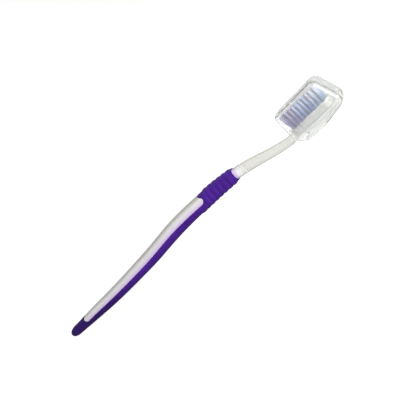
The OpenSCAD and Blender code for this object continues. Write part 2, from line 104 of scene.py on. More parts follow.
def node(tree, kind, inputs=(), stops=(), **settings):
    """Adds a node with its settings; inputs maps a socket to its value or to the socket that feeds it.

    Stops are the places and the RGBA values of a colour ramp, in rising order.
    """
    made = tree.nodes.new(kind)
    for name, value in settings.items():
        setattr(made, name, value)
    for key, value in dict(inputs).items():
        if isinstance(value, bpy.types.NodeSocket):
            tree.links.new(value, made.inputs[key])
        else:
            made.inputs[key].default_value = value
    for number, (place, rgba) in enumerate(stops):
        if number > 1:
            made.color_ramp.elements.new(place)
        made.color_ramp.elements[number].position = place
        made.color_ramp.elements[number].color = rgba
    return made


def seen_rays(tree):
    """Two sockets: 1 for any look, also through clear plastic, and 1 for a look straight from the camera.

    Both are 0 for the light that falls on a surface and for reflections.
    """
    ray = node(tree, "ShaderNodeLightPath")
    looks = node(tree, "ShaderNodeMath", {
        0: ray.outputs["Is Camera Ray"], 1: ray.outputs["Is Transmission Ray"],
    }, operation="MAXIMUM")
    return looks.outputs[0], ray.outputs["Is Camera Ray"]


# A tent of white cloth with a darker roof: white to the camera, bright through clear plastic, and less
# bright as the light that falls on a surface or mirrors in it.
roof_start = 0.35
roof_end = 0.85
roof_white = 0.65
light_white = 0.8

world = bpy.data.worlds.new("white_studio")
world.use_nodes = True
scene.world = world
sky = world.node_tree
sky.nodes.clear()
direction = node(sky, "ShaderNodeTexCoord").outputs["Generated"]
height_in_tent = node(sky, "ShaderNodeSeparateXYZ", {0: direction}).outputs["Z"]
cloth = node(sky, "ShaderNodeMapRange", {
    "Value": height_in_tent, "From Min": roof_start, "From Max": roof_end, "To Min": 1, "To Max": roof_white,
})
looks, from_camera = seen_rays(sky)
light = node(sky, "ShaderNodeMapRange", {"Value": looks, "To Min": light_white, "To Max": 1})
room = node(sky, "ShaderNodeMath", {0: cloth.outputs[0], 1: light.outputs[0]}, operation="MULTIPLY")
backdrop = node(sky, "ShaderNodeMix", {
    0: from_camera, 6: room.outputs[0], 7: colour("#ffffff"),
}, data_type="RGBA")
sky_light = node(sky, "ShaderNodeBackground", {"Color": backdrop.outputs[2]})
node(sky, "ShaderNodeOutputWorld", {"Surface": sky_light.outputs[0]})


def new_material(name):
    """A material with an empty node tree, and that tree."""
    material = bpy.data.materials.new(name)
    material.use_nodes = True
    material.node_tree.nodes.clear()
    return material, material.node_tree


# Matt white table: seen directly or through the clear plastic it is as white as the backdrop, less the
# faint shadow of the brush.
table_half = 4
table_glow = 1.25
table_glow_share = 0.72

table_white, tree = new_material("matt_white_table")
looks = seen_rays(tree)[0]
share = node(tree, "ShaderNodeMath", {0: looks, 1: table_glow_share}, operation="MULTIPLY")
paint = node(tree, "ShaderNodeBsdfDiffuse", {"Color": colour("#f3f3f3")})
glow = node(tree, "ShaderNodeEmission", {"Color": colour("#ffffff"), "Strength": table_glow})
surface = node(tree, "ShaderNodeMixShader", {0: share.outputs[0], 1: paint.outputs[0], 2: glow.outputs[0]})
node(tree, "ShaderNodeOutputMaterial", {"Surface": surface.outputs[0]})

table_mesh = bpy.data.meshes.new("table")
table_corners = [(x * table_half, y * table_half, 0) for x, y in ((-1, -1), (1, -1), (1, 1), (-1, 1))]
table_mesh.from_pydata(table_corners, [], [(0, 1, 2, 3)])
table_mesh.materials.append(table_white)
table = bpy.data.objects.new("table", table_mesh)
scene.collection.objects.link(table)


# Clear handle
# The first shot: one clear copolyester moulding from the butt to the head. It is the core under the rubber,
# the long window on the front, the slim neck and the flat head with its drilled tuft holes. Sizes are in
# millimetres, and x runs from the butt.

total_l = 197.0
handle_l = 129.6
tail_l = 24
belly_x = 62
waist_x = 88
grip_x = 114
butt_round = 4.5
section_power = 2.4

butt_t = 5
grip_end_t = 6.9
back_knots = [(tail_l, 0), (belly_x, 2.0), (waist_x, 5.1), (grip_x, 6.55), (handle_l, 6.7)]
thickness_knots = [
    (0, butt_t), (tail_l, 6.8), (belly_x, 8.3), (waist_x, 8.7), (grip_x, 7.9), (handle_l, grip_end_t),
]
width_knots = [(0, 6.4), (tail_l, 8.6), (belly_x, 11), (waist_x, 11.8), (grip_x, 12.2), (handle_l, 9.4)]

ribbed_l = 26
rib_count = 8
rib_margin = 0.45
rib_h = 0.45
rib_power = 0.7
rib_fade = 1.6
rib_x = handle_l - ribbed_l
rib_pitch = ribbed_l / (rib_count + rib_margin)

butt_l = 13
window_ribs = 2
window_end = rib_x + window_ribs * rib_pitch
window_r = 2.2
window_start_dip = 0.8
window_end_dip = 3
dip_reach = 8
window_knots = [(0, 2.9), (tail_l, 3.3), (belly_x, 4.1), (grip_x, 4.1), (handle_l, grip_end_t / 2)]

rubber_t = 1.3
butt_rubber_t = 2.8
core_round = 3
grip_round = 3
grip_lip = 0.35

head_l = 27.2
head_w = 10.6
head_t = 4.4
head_z = 6.3
head_r = head_w / 2
head_tilt = math.radians(2.5)
head_edge_r = 1.1

neck_l = 36
neck_t = 5.9
neck_w = 6.8
neck_z = 10.15
neck_bend_l = 4.4
neck_tip_t = 4.5
neck_tip_w = 5.4
neck_tip_z = 4.7
neck_inset = 0.4
head_x = handle_l + neck_l
bend_x = head_x - neck_bend_l
neck_end_x = head_x + head_r
neck_end_z = head_z + head_r * math.tan(head_tilt)


def clamp(value):
    return min(max(value, 0), 1)


def mix(first, last, part):
    return first + (last - first) * part


def curve(knots, x):
    """Smooth curve through (x, value) knots, level at its first knot."""
    i = 0
    while i < len(knots) - 2 and x >= knots[i + 1][0]:
        i += 1

    def slope(k):
        if k == 0:
            return 0
        before = knots[k - 1]
        after = knots[min(k + 1, len(knots) - 1)]
        return (after[1] - before[1]) / (after[0] - before[0])

    gap = knots[i + 1][0] - knots[i][0]
    part = clamp((x - knots[i][0]) / gap)
    return (
        (1 + 2 * part) * (1 - part) ** 2 * knots[i][1]
        + part * (1 - part) ** 2 * gap * slope(i)
        + part * part * (3 - 2 * part) * knots[i + 1][1]
        + part * part * (part - 1) * gap * slope(i + 1)
    )


def rounding(distance, length):
    """0 at the tip of a rounding, 1 at its full section."""
    return math.sqrt(1 - (1 - clamp(distance / length)) ** 2)


def back_edge(x):
    return curve(back_knots, x) if x > tail_l else 0


def front_edge(x):
    return back_edge(x) + curve(thickness_knots, x)


def parting(x):
    """Height of the line at which the window and the rubber meet on the sides."""
    return front_edge(x) - curve(window_knots, x)


def core_value(x, in_grip, at_neck, at_bend, at_head):
    """Value of a size of the core: its size in the grip up to the ribs, then a smooth curve to the head."""
    if x <= rib_x:
        return in_grip(x)
    knots = [(rib_x, in_grip(rib_x)), (handle_l, at_neck), (bend_x, at_bend), (neck_end_x, at_head)]
    return curve(knots, x)


def core_mid(x):
    def in_grip(at):
        return back_edge(at) + curve(thickness_knots, at) / 2

    return core_value(x, in_grip, neck_z, neck_tip_z, neck_end_z)


def core_thickness(x):
    def in_grip(at):
        return curve(thickness_knots, at) - 2 * rubber_t

    return core_value(x, in_grip, neck_t, neck_tip_t, head_t - neck_inset)


def core_width(x):
    def in_grip(at):
        return curve(width_knots, at) - 2 * rubber_t

    return core_value(x, in_grip, neck_w, neck_tip_w, head_w - 2 * neck_inset)


def bulge(value):
    return math.copysign(abs(value) ** (2 / section_power), value)


def section(x, angle, width, middle, above, below):
    """Point of a cross-section: angle 0 and pi at the parting line, pi/2 on the front."""
    side = math.cos(angle)
    height = math.sin(angle)
    return Vector((x, width / 2 * bulge(side), middle + (above if height > 0 else below) * bulge(height)))


def rib(x, angle):
    """Height of the ribs; beside the window they fade out on the sides."""
    if not rib_x <= x <= rib_x + rib_count * rib_pitch:
        return 0
    height = rib_h * abs(math.sin(math.pi * (x - rib_x) / rib_pitch)) ** rib_power
    return height if x > window_end else height * clamp(-rib_fade * math.sin(angle))


def skin(x, angle):
    middle = parting(x)
    ridge = rib(x, angle)
    return section(
        x, angle, curve(width_knots, x) + 2 * ridge, middle,
        front_edge(x) - middle + ridge, middle - back_edge(x) + ridge,
    )


def core(x, angle, grow):
    half = core_thickness(x) / 2
    middle = mix(parting(min(x, handle_l)), core_mid(x), clamp((x - rib_x) / (handle_l - rib_x)))
    return section(
        x, angle, core_width(x) + 2 * grow, middle,
        core_mid(x) + half - middle + grow, middle - core_mid(x) + half + grow,
    )


def outer_point(x, angle):
    """Point of the skin, which closes round the butt and steps down to the neck at the grip's end."""
    if x < butt_round:
        centre = Vector((x, 0, butt_t / 2))
        return centre.lerp(skin(x, angle), rounding(x, butt_round))
    if x > handle_l - grip_round:
        return core(x, angle, grip_lip).lerp(skin(x, angle), rounding(handle_l - x, grip_round))
    return skin(x, angle)


def inner_point(x, angle, grow):
    """Point of the core, which closes inside the rubber of the butt."""
    centre = Vector((x, 0, butt_t / 2))
    return centre.lerp(core(x, angle, grow), rounding(x - butt_rubber_t, core_round))


# Columns run round a section: the first half lies on the front, between the window's edges.
ring_n = 96
half_n = ring_n // 2


def corner_angle(x):
    """Angle of the window's edge above the parting line, where its corners are rounded."""
    inside = min(max(x - butt_l, 0), max(window_end - x, 0))
    climb = window_r * (1 - rounding(inside, window_r))
    return math.asin((climb / (front_edge(x) - parting(x))) ** (section_power / 2))


def column_angle(x, j, lead=0.0):
    if x < butt_l:
        first = corner_angle(butt_l) * x / butt_l
    elif x > window_end:
        first = corner_angle(window_end) * max(handle_l - x, 0) / (handle_l - window_end)
    else:
        first = corner_angle(x)
    first += lead
    if j <= half_n:
        return mix(first, math.pi - first, j / half_n)
    return mix(math.pi - first, 2 * math.pi + first, (j - half_n) / half_n)


def dip(x, j):
    """Shift along X that makes the window's ends dip on the front face."""
    if j >= half_n:
        return 0
    return math.sin(math.pi * j / half_n) * (
        window_start_dip * max(1 - abs(x - butt_l) / dip_reach, 0)
        - window_end_dip * max(1 - abs(x - window_end) / dip_reach, 0)
    )


def steps(start, end, count):
    """Even stations after a start, up to an end."""
    return [mix(start, end, i / count) for i in range(1, count + 1)]


def round_steps(start, length, count):
    """Stations that crowd at the start of a rounding; a negative length rounds towards the start."""
    return [start + length * (1 - math.cos(math.pi / 2 * i / count)) for i in range(count + 1)]


def round_end(end, length, count):
    """Stations that crowd at the end of a rounding, without the first."""
    return round_steps(end, -length, count)[-2::-1]


# Rows run along the brush, closer together where the shape turns quickly.
round_n = 12
butt_round_n = 14
butt_n = 6
window_plain_n = 70
window_ribbed_n = 24
sleeve_n = 96
core_sleeve_n = 16
neck_n = 24
neck_end_n = 20

window_rows = (
    round_steps(butt_l, window_r, round_n)
    + steps(butt_l + window_r, rib_x, window_plain_n)
    + steps(rib_x, window_end - window_r, window_ribbed_n)
    + round_end(window_end, window_r, round_n)
)
butt_rows = (
    round_steps(0, butt_round, butt_round_n)[1:]
    + steps(butt_round, butt_l, butt_n)[:-1]
)
sleeve_rows = (
    steps(window_end, handle_l - grip_round, sleeve_n)
    + round_end(handle_l, grip_round, round_n)
)
core_butt_rows = (
    round_steps(butt_rubber_t, core_round, round_n)[1:]
    + steps(butt_rubber_t + core_round, butt_l, butt_n)[:-1]
)
core_sleeve_rows = steps(window_end, handle_l, core_sleeve_n)
neck_rows = steps(handle_l, bend_x, neck_n) + steps(bend_x, neck_end_x, neck_end_n)
skin_rows = butt_rows + window_rows + sleeve_rows
core_rows = core_butt_rows + window_rows + core_sleeve_rows + neck_rows

# Where the parts of the skin and of the core start in their rows, and where the core starts in the points.
window_n = len(window_rows) - 1
skin_window = len(butt_rows)
core_window = len(core_butt_rows)
core_end = core_window + window_n + len(core_sleeve_rows)
first_core = len(skin_rows) * ring_n
skin_pole = (len(skin_rows) + len(core_rows)) * ring_n
core_pole = skin_pole + 1
neck_pole = skin_pole + 2


def skin_at(i, j):
    return i * ring_n + j % ring_n


def core_at(i, j):
    return first_core + i * ring_n + j % ring_n


def handle_points(grow, lead):
    """Points of the skin, then of the core, then the poles at the butt and in the head.

    The core can be grown by a hair, and its edge at the window turned up by a small angle, the lead.
    """
    points = [outer_point(x + dip(x, j), column_angle(x, j)) for x in skin_rows for j in range(ring_n)]
    points += [
        inner_point(x + dip(x, j), column_angle(x, j, lead), grow) for x in core_rows for j in range(ring_n)
    ]
    points += [
        Vector((0, 0, butt_t / 2)),
        Vector((butt_rubber_t, 0, butt_t / 2)),
        Vector((neck_end_x, 0, neck_end_z)),
    ]
    return points


def strip(at, first_row, last_row, first_column, last_column):
    """Four-sided faces of the skin or of the core, between two rows and two columns."""
    return [
        (at(i, j), at(i + 1, j), at(i + 1, j + 1), at(i, j + 1))
        for i in range(first_row, last_row) for j in range(first_column, last_column)
    ]


def wall(skin_row, core_row, columns):
    """Faces from a row of the skin down to a row of the core."""
    return [
        (skin_at(skin_row, j), skin_at(skin_row, j + 1), core_at(core_row, j + 1), core_at(core_row, j))
        for j in range(columns)
    ]


def window_walls():
    """Faces at which the window's filling and the rubber meet: two ends, then two sides."""
    faces = wall(skin_window, core_window, half_n)
    faces += wall(skin_window + window_n, core_window + window_n, half_n)
    for j in (0, half_n):
        faces += [
            (skin_at(skin_window + i, j), skin_at(skin_window + i + 1, j),
             core_at(core_window + i + 1, j), core_at(core_window + i, j))
            for i in range(window_n)
        ]
    return faces


def fan(pole, at, i):
    return [(pole, at(i, j), at(i, j + 1)) for j in range(ring_n)]


# Points that are nearer to one another than this are made one.
weld = 0.0005


def in_frame(point):
    """Place in the frame, in metres, of a point in millimetres from the butt."""
    return ((point[0] - total_l / 2) * MM, point[1] * MM, point[2] * MM)


def make_solid(name, points, faces):
    """Object from points in millimetres from the butt; it is closed, and its faces point outwards."""
    mesh = bpy.data.meshes.new(name)
    mesh.from_pydata([in_frame(point) for point in points], [], faces)
    shape = bmesh.new()
    shape.from_mesh(mesh)
    bmesh.ops.delete(shape, geom=[v for v in shape.verts if not v.link_faces], context="VERTS")
    bmesh.ops.remove_doubles(shape, verts=shape.verts, dist=weld * MM)
    bmesh.ops.recalc_face_normals(shape, faces=shape.faces)
    shape.to_mesh(mesh)
    shape.free()
    made = bpy.data.objects.new(name, mesh)
    scene.collection.objects.link(made)
    return made


def apply_modifiers(piece):
    """Turns what the modifiers show into the piece's own mesh."""
    bpy.context.view_layer.update()
    shown = piece.evaluated_get(bpy.context.evaluated_depsgraph_get())
    mesh = bpy.data.meshes.new_from_object(shown)
    piece.modifiers.clear()
    piece.data = mesh


def combine(piece, operation, *tools):
    """Joins solids to a piece or cuts them from it, one after another."""
    for tool in tools:
        change = piece.modifiers.new("cut", "BOOLEAN")
        change.operation = operation
        change.solver = "MANIFOLD"
        change.object = tool
        apply_modifiers(piece)
        bpy.data.objects.remove(tool)


sharp_edge = math.radians(30)


def finish_piece(piece, name, material, body, nodes):
    """Smooth shading up to an angle, the material, and what the piece rides on and stands for."""
    shape = bmesh.new()
    shape.from_mesh(piece.data)
    for face in shape.faces:
        face.smooth = True
    for edge in shape.edges:
        edge.smooth = edge.calc_face_angle(0) < sharp_edge
    shape.to_mesh(piece.data)
    shape.free()
    piece.name = name
    piece.data.name = name
    piece.data.materials.clear()
    piece.data.materials.append(material)
    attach(piece, body)
    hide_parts(*nodes)


def from_head(x, y, z):
    """Point in millimetres from the butt, of a point measured from the head's neck end and middle plane."""
    return Vector((
        head_x + x * math.cos(head_tilt) - z * math.sin(head_tilt),
        y,
        head_z + x * math.sin(head_tilt) + z * math.cos(head_tilt),
    ))


def loop_faces(rings, count):
    """Side faces between rings of points, and the two caps."""
    faces = [
        (r * count + k, r * count + (k + 1) % count, (r + 1) * count + (k + 1) % count, (r + 1) * count + k)
        for r in range(rings - 1) for k in range(count)
    ]
    faces.append(tuple(range(count)))
    faces.append(tuple(range((rings - 1) * count, rings * count)))
    return faces


# The head: a flat paddle with two round ends and soft edges.
end_steps = 48
edge_steps = 10
head_points = []
edge_rings = []
for i in range(edge_steps + 1):
    angle = math.pi / 2 * i / edge_steps
    edge_rings.append((1 - math.sin(angle), -1 + (1 - math.cos(angle)) * head_edge_r / (head_t / 2)))
edge_rings += [(inset, -height) for inset, height in reversed(edge_rings)]
for inset, height in edge_rings:
    radius = head_r - inset * head_edge_r
    for centre_x, start in ((head_l - head_r, -math.pi / 2), (head_r, math.pi / 2)):
        for k in range(end_steps + 1):
            angle = start + math.pi * k / end_steps
            head_points.append(from_head(
                centre_x + radius * math.cos(angle), radius * math.sin(angle), height * head_t / 2
            ))
head_blank = make_solid("head_blank", head_points, loop_faces(len(edge_rings), 2 * (end_steps + 1)))

# The tuft holes: ten rows of four, but three in the first and last. The drills, like all cutters, reach a
# spare length past what they cut.
tuft_rows = 10
tuft_cols = 4
row_pitch = 2.25
col_pitch = 2.3
hole_d = 1.7
hole_depth = 3.1
hole_sides = 36
field_x = (head_l - (tuft_rows - 1) * row_pitch) / 2
spare = 1

tuft_places = []
for row in range(tuft_rows):
    across = tuft_cols - 1 if row in (0, tuft_rows - 1) else tuft_cols
    for column in range(across):
        y = (column - (across - 1) / 2) * col_pitch
        tuft_places.append((row, column, field_x + row * row_pitch, y))

hole_points = []
hole_faces = []
for row, column, x, y in tuft_places:
    first = len(hole_points)
    for z in (head_t / 2 - hole_depth, head_t / 2 + spare):
        for k in range(hole_sides):
            angle = 2 * math.pi * k / hole_sides
            side_x = x + hole_d / 2 * math.cos(angle)
            side_y = y + hole_d / 2 * math.sin(angle)
            hole_points.append(from_head(side_x, side_y, z))
    hole_faces += [tuple(first + corner for corner in face) for face in loop_faces(2, hole_sides)]
tuft_holes = make_solid("tuft_holes", hole_points, hole_faces)

clear_faces = (
    fan(core_pole, core_at, 0)
    + strip(core_at, 0, core_window, 0, ring_n)
    + strip(core_at, core_window, core_window + window_n, half_n, ring_n)
    + strip(skin_at, skin_window, skin_window + window_n, 0, half_n)
    + strip(core_at, core_window + window_n, len(core_rows) - 1, 0, ring_n)
    + window_walls()
    + fan(neck_pole, core_at, len(core_rows) - 1)
)
clear_handle = make_solid("clear_handle", handle_points(0, 0), clear_faces)
combine(clear_handle, "UNION", head_blank)
combine(clear_handle, "DIFFERENCE", tuft_holes)

# How far each point stands from the rubber: 0 at its edge and under it, and 1 on the front of the window and
# in the neck from a few millimetres on. It masks the painted lilac glow of the rubber in the clear plastic.
neck_glow_l = 4
above_rubber = clear_handle.data.attributes.new("above_rubber", "FLOAT", "POINT")
for number, corner in enumerate(clear_handle.data.vertices):
    x = corner.co.x / MM + total_l / 2
    if x < window_end:
        distance = (corner.co.z / MM - parting(x)) / (front_edge(x) - parting(x))
    else:
        distance = (x - handle_l) / neck_glow_l
    above_rubber.data[number].value = clamp(distance)


# Share of a lamp's light that a clear plastic lets straight through to what lies behind it.
shadow_clear = 0.85


def clear_surface(tree, shader, depth_colour, density):
    """Ends a clear plastic: light reaches what lies inside it, and its depth takes a tint from the light."""
    ray = node(tree, "ShaderNodeLightPath")
    share = node(tree, "ShaderNodeMath", {
        0: ray.outputs["Is Shadow Ray"], 1: shadow_clear,
    }, operation="MULTIPLY")
    open_way = node(tree, "ShaderNodeBsdfTransparent", {"Color": colour("#ffffff")})
    surface = node(tree, "ShaderNodeMixShader", {
        0: share.outputs[0], 1: shader.outputs[0], 2: open_way.outputs[0],
    })
    depth = node(tree, "ShaderNodeVolumeAbsorption", {"Color": depth_colour, "Density": density})
    node(tree, "ShaderNodeOutputMaterial", {"Surface": surface.outputs[0], "Volume": depth.outputs[0]})


# Copolyester, moulded thick and polished: it bends light strongly, and its flow marks ripple the skin. It is
# milky in the thick grip, clear in the neck and a little milky in the head. Beside the rubber it has a
# painted lilac glow, the purple of the rubber as if seen through it, and at a slant it has painted shade, a
# faint olive at the rims, less so in the head. The first two places are measured from the middle of the
# brush, and the pairs are shares of the way between them. A flow mark's length and width are in millimetres.
grip_end = 30 * MM
head_middle = 80 * MM
neck_starts = (0.04, 0.16)
neck_ends = (0.68, 0.78)
head_rim_shade = 0.25
flow_mark_l = 50 / 3
flow_mark_w = 2.5

clear_plastic, tree = new_material("clear_moulded_copolyester")
place = node(tree, "ShaderNodeTexCoord").outputs["Object"]
along_brush = node(tree, "ShaderNodeSeparateXYZ", {0: place}).outputs["X"]
past_grip = node(tree, "ShaderNodeMapRange", {
    "Value": along_brush, "From Min": grip_end, "From Max": head_middle,
}).outputs[0]
clearness = node(tree, "ShaderNodeValToRGB", {0: past_grip}, stops=[
    (stop, (clear, clear, clear, 1))
    for stop, clear in zip((*neck_starts, *neck_ends, 1), (0.32, 0.92, 0.92, 0.82, 0.7))
])
plain = node(tree, "ShaderNodeValToRGB", {0: past_grip}, stops=[
    (stop, colour(code))
    for stop, code in zip((*neck_starts, *neck_ends), ("#fcfbf7", "#e7e7e2", "#e7e7e2", "#fdfdfc"))
])
from_rubber = node(tree, "ShaderNodeAttribute", attribute_name="above_rubber").outputs["Fac"]
# Painted lilac glow: near the rubber the plastic's colour turns lilac, the purple of the rubber as if seen
# through it.
rubber_glow_share = node(tree, "ShaderNodeMapRange", {"Value": from_rubber, "From Min": 0.05, "From Max": 0.6})
body = node(tree, "ShaderNodeMix", {
    0: rubber_glow_share.outputs[0], 6: colour("#e0c8f4"), 7: plain.outputs[0],
}, data_type="RGBA")
# Painted shade: where the plastic is seen at a slant its colour turns to a faint olive, less in the head.
slant = node(tree, "ShaderNodeLayerWeight", {"Blend": 0.35}).outputs["Facing"]
rim_shade_strength = node(tree, "ShaderNodeMapRange", {
    "Value": past_grip, "From Min": neck_ends[0], "From Max": neck_ends[1], "To Min": 1, "To Max": head_rim_shade,
})
painted_rim_shade = node(tree, "ShaderNodeMapRange", {
    "Value": slant, "From Min": 0.12, "From Max": 0.7, "To Max": rim_shade_strength.outputs[0],
})
painted_shade_mix = node(tree, "ShaderNodeMix", {
    0: painted_rim_shade.outputs[0], 6: body.outputs[2], 7: colour("#a5a396"),
}, data_type="RGBA")
marks = node(tree, "ShaderNodeMapping", {
    "Vector": place, "Scale": [1 / (size * MM) for size in (flow_mark_l, flow_mark_w, flow_mark_w)],
})
flow = node(tree, "ShaderNodeTexNoise", {"Vector": marks.outputs[0], "Scale": 1, "Detail": 2})
rough = node(tree, "ShaderNodeMapRange", {"Value": flow.outputs["Fac"], "To Min": 0.03, "To Max": 0.09})
ripple = node(tree, "ShaderNodeBump", {"Height": flow.outputs["Fac"], "Strength": 0.4, "Distance": 0.1 * MM})
surface = node(tree, "ShaderNodeBsdfPrincipled", {
    "Base Color": painted_shade_mix.outputs[2],
    "Roughness": rough.outputs[0],
    "IOR": 1.57,
    "Transmission Weight": clearness.outputs[0],
    "Normal": ripple.outputs[0],
})
clear_surface(tree, surface, colour("#c6c6be"), 50)

finish_piece(clear_handle, "clear_handle", clear_plastic, "brush", ["handle"])


# Rubber
# The second shot: soft purple thermoplastic rubber, moulded over the core in one piece. It is the butt, the
# strip along the back and the ribbed sleeve of the grip, and it is bonded to the clear plastic. Its inner
# face lies a hair inside the core, so that no gap shows between the two.

bond = 0.03
bond_lead = 0.02
rubber_faces = (
    fan(skin_pole, skin_at, 0)
    + strip(skin_at, 0, skin_window, 0, ring_n)
    + strip(skin_at, skin_window, skin_window + window_n, half_n, ring_n)
    + strip(skin_at, skin_window + window_n, len(skin_rows) - 1, 0, ring_n)
    + fan(core_pole, core_at, 0)
    + strip(core_at, 0, core_window, 0, ring_n)
    + strip(core_at, core_window, core_window + window_n, half_n, ring_n)
    + strip(core_at, core_window + window_n, core_end, 0, ring_n)
    + window_walls()
    + wall(len(skin_rows) - 1, core_end, ring_n)
)
rubber = make_solid("rubber", handle_points(-bond, bond_lead), rubber_faces)

# Thermoplastic rubber from a fine-blasted mould: matt, with a soft bloom at the edges and a fine grain.
# The grain is drawn at 0.25 mm, coarser than the real 0.05 mm, so that it shows. Painted shade darkens the
# rubber towards the butt, where less light falls; both places are measured from the middle of the brush.
butt_shade_until = -80 * MM
unshaded_from = -40 * MM
cloud_size = 25 / 3
grain_size = 0.25

rubber_purple, tree = new_material("purple_thermoplastic_rubber")
place = node(tree, "ShaderNodeTexCoord").outputs["Object"]
clouds = node(tree, "ShaderNodeTexNoise", {"Vector": place, "Scale": 1 / (cloud_size * MM), "Detail": 3})
grain = node(tree, "ShaderNodeTexNoise", {"Vector": place, "Scale": 1 / (grain_size * MM), "Detail": 2})
purple = node(tree, "ShaderNodeValToRGB", {0: clouds.outputs["Fac"]}, stops=[
    (0.3, colour("#3a1672")), (0.7, colour("#48208a")),
])
along_brush = node(tree, "ShaderNodeSeparateXYZ", {0: place}).outputs["X"]
# Painted shade: from the tail to the butt the purple turns darker, as if less light fell there.
butt_shade_share = node(tree, "ShaderNodeMapRange", {
    "Value": along_brush, "From Min": butt_shade_until, "From Max": unshaded_from,
})
# Painted shade: the purple is mixed towards a dark colour near the butt.
painted_shade_mix = node(tree, "ShaderNodeMix", {
    0: butt_shade_share.outputs[0], 6: colour("#2c145a"), 7: purple.outputs[0],
}, data_type="RGBA")
rough = node(tree, "ShaderNodeMapRange", {"Value": grain.outputs["Fac"], "To Min": 0.55, "To Max": 0.7})
bumps = node(tree, "ShaderNodeBump", {
    "Height": grain.outputs["Fac"], "Strength": 0.3, "Distance": 0.02 * MM,
})
surface = node(tree, "ShaderNodeBsdfPrincipled", {
    "Base Color": painted_shade_mix.outputs[2],
    "Roughness": rough.outputs[0],
    "IOR": 1.5,
    "Specular IOR Level": 0.08,
    "Sheen Weight": 0.01,
    "Sheen Roughness": 0.5,
    "Normal": bumps.outputs[0],
})
node(tree, "ShaderNodeOutputMaterial", {"Surface": surface.outputs[0]})

finish_piece(rubber, "soft_grip_rubber", rubber_purple, "brush", ["rubber_overmould"])


# Anchors
# Flat bars of soft nickel silver, punched from wire, that hold each tuft's folded root down in its hole.
# The CAD solids have the right shape and stay.

# Nickel silver, rolled flat: pale, with scratches from the rolls that blur what it mirrors. They are drawn
# coarser than the real ones, which are too fine to show.
scratch_w = 1 / 9
scratch_l = 10 / 7

anchor_metal, tree = new_material("rolled_nickel_silver")
place = node(tree, "ShaderNodeTexCoord").outputs["Object"]
rolled = node(tree, "ShaderNodeMapping", {
    "Vector": place, "Scale": [1 / (size * MM) for size in (scratch_w, scratch_l, scratch_w)],
})
scratches = node(tree, "ShaderNodeTexNoise", {"Vector": rolled.outputs[0], "Scale": 1, "Detail": 2})
rough = node(tree, "ShaderNodeMapRange", {"Value": scratches.outputs["Fac"], "To Min": 0.2, "To Max": 0.4})
surface = node(tree, "ShaderNodeBsdfPrincipled", {
    "Base Color": colour("#c9c3b4"),
    "Metallic": 1,
    "Roughness": rough.outputs[0],
})
node(tree, "ShaderNodeOutputMaterial", {"Surface": surface.outputs[0]})
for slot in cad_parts["tuft_anchors"].material_slots:
    slot.material = anchor_metal


# Bristles
# 38 tufts of round nylon filaments, violet at the neck, blue in the middle and teal at the tip. Each tuft is
# a bundle folded round its anchor, stapled into its hole and trimmed flat, with rounded filament ends.

filaments_per_tuft = 42
filament_d = 0.19
filament_rows = 8
filament_sides = 6
end_start = 0.99
end_radius = 0.25
tip_z = 17.2
trim_rise = 0.9
root_gap = 0.06
root_spread = 0.58
tip_splay = 1.12
tip_bend = 0.09
first_lean = 1.9
least_lean = 0.15
hole_share = 0.24
golden_angle = math.pi * (3 - math.sqrt(5))

bundle = bpy.data.node_groups.new("filament_bundle", "GeometryNodeTree")
bundle.interface.new_socket("Geometry", in_out="INPUT", socket_type="NodeSocketGeometry")
inputs = {}
for name, kind in (
    ("Filaments", "Int"), ("Filament Diameter", "Float"), ("Root Spread", "Float"),
    ("Tip Splay", "Float"), ("Bend", "Float"), ("Hole Share", "Float"),
    ("Tilt", "Rotation"), ("Material", "Material"), ("Seed", "Int"),
):
    made = bundle.interface.new_socket(name, in_out="INPUT", socket_type="NodeSocket" + kind)
    inputs[name] = made.identifier
bundle.interface.new_socket("Geometry", in_out="OUTPUT", socket_type="NodeSocketGeometry")
given = node(bundle, "NodeGroupInput").outputs

# One filament: a unit rod along Z, drawn to a round end, with its rows closer together towards the tip.
rod = node(bundle, "GeometryNodeCurvePrimitiveLine", {"Start": (0, 0, 0), "End": (0, 0, 1)})
rod = node(bundle, "GeometryNodeResampleCurve", {"Curve": rod.outputs[0], "Count": filament_rows})
way_up = node(bundle, "GeometryNodeSplineParameter").outputs["Factor"]
left = node(bundle, "ShaderNodeMath", {0: 1.0, 1: way_up}, operation="SUBTRACT")
crowded = node(bundle, "ShaderNodeMath", {0: left.outputs[0], 1: 2.0}, operation="POWER")
height = node(bundle, "ShaderNodeMath", {0: 1.0, 1: crowded.outputs[0]}, operation="SUBTRACT")
spot = node(bundle, "ShaderNodeCombineXYZ", {"Z": height.outputs[0]})
rod = node(bundle, "GeometryNodeSetPosition", {"Geometry": rod.outputs[0], "Position": spot.outputs[0]})
near_tip = node(bundle, "ShaderNodeMapRange", {
    "Value": way_up, "From Min": end_start, "From Max": 1, "To Min": 1, "To Max": end_radius,
})
rod = node(bundle, "GeometryNodeSetCurveRadius", {"Curve": rod.outputs[0], "Radius": near_tip.outputs[0]})
rod = node(bundle, "GeometryNodeStoreNamedAttribute", {
    "Geometry": rod.outputs[0], "Name": "along", "Value": height.outputs[0],
}, data_type="FLOAT", domain="POINT")
outline = node(bundle, "GeometryNodeCurvePrimitiveCircle", {"Resolution": filament_sides, "Radius": 0.5})
rod = node(bundle, "GeometryNodeCurveToMesh", {
    "Curve": rod.outputs[0], "Profile Curve": outline.outputs[0], "Fill Caps": True,
})

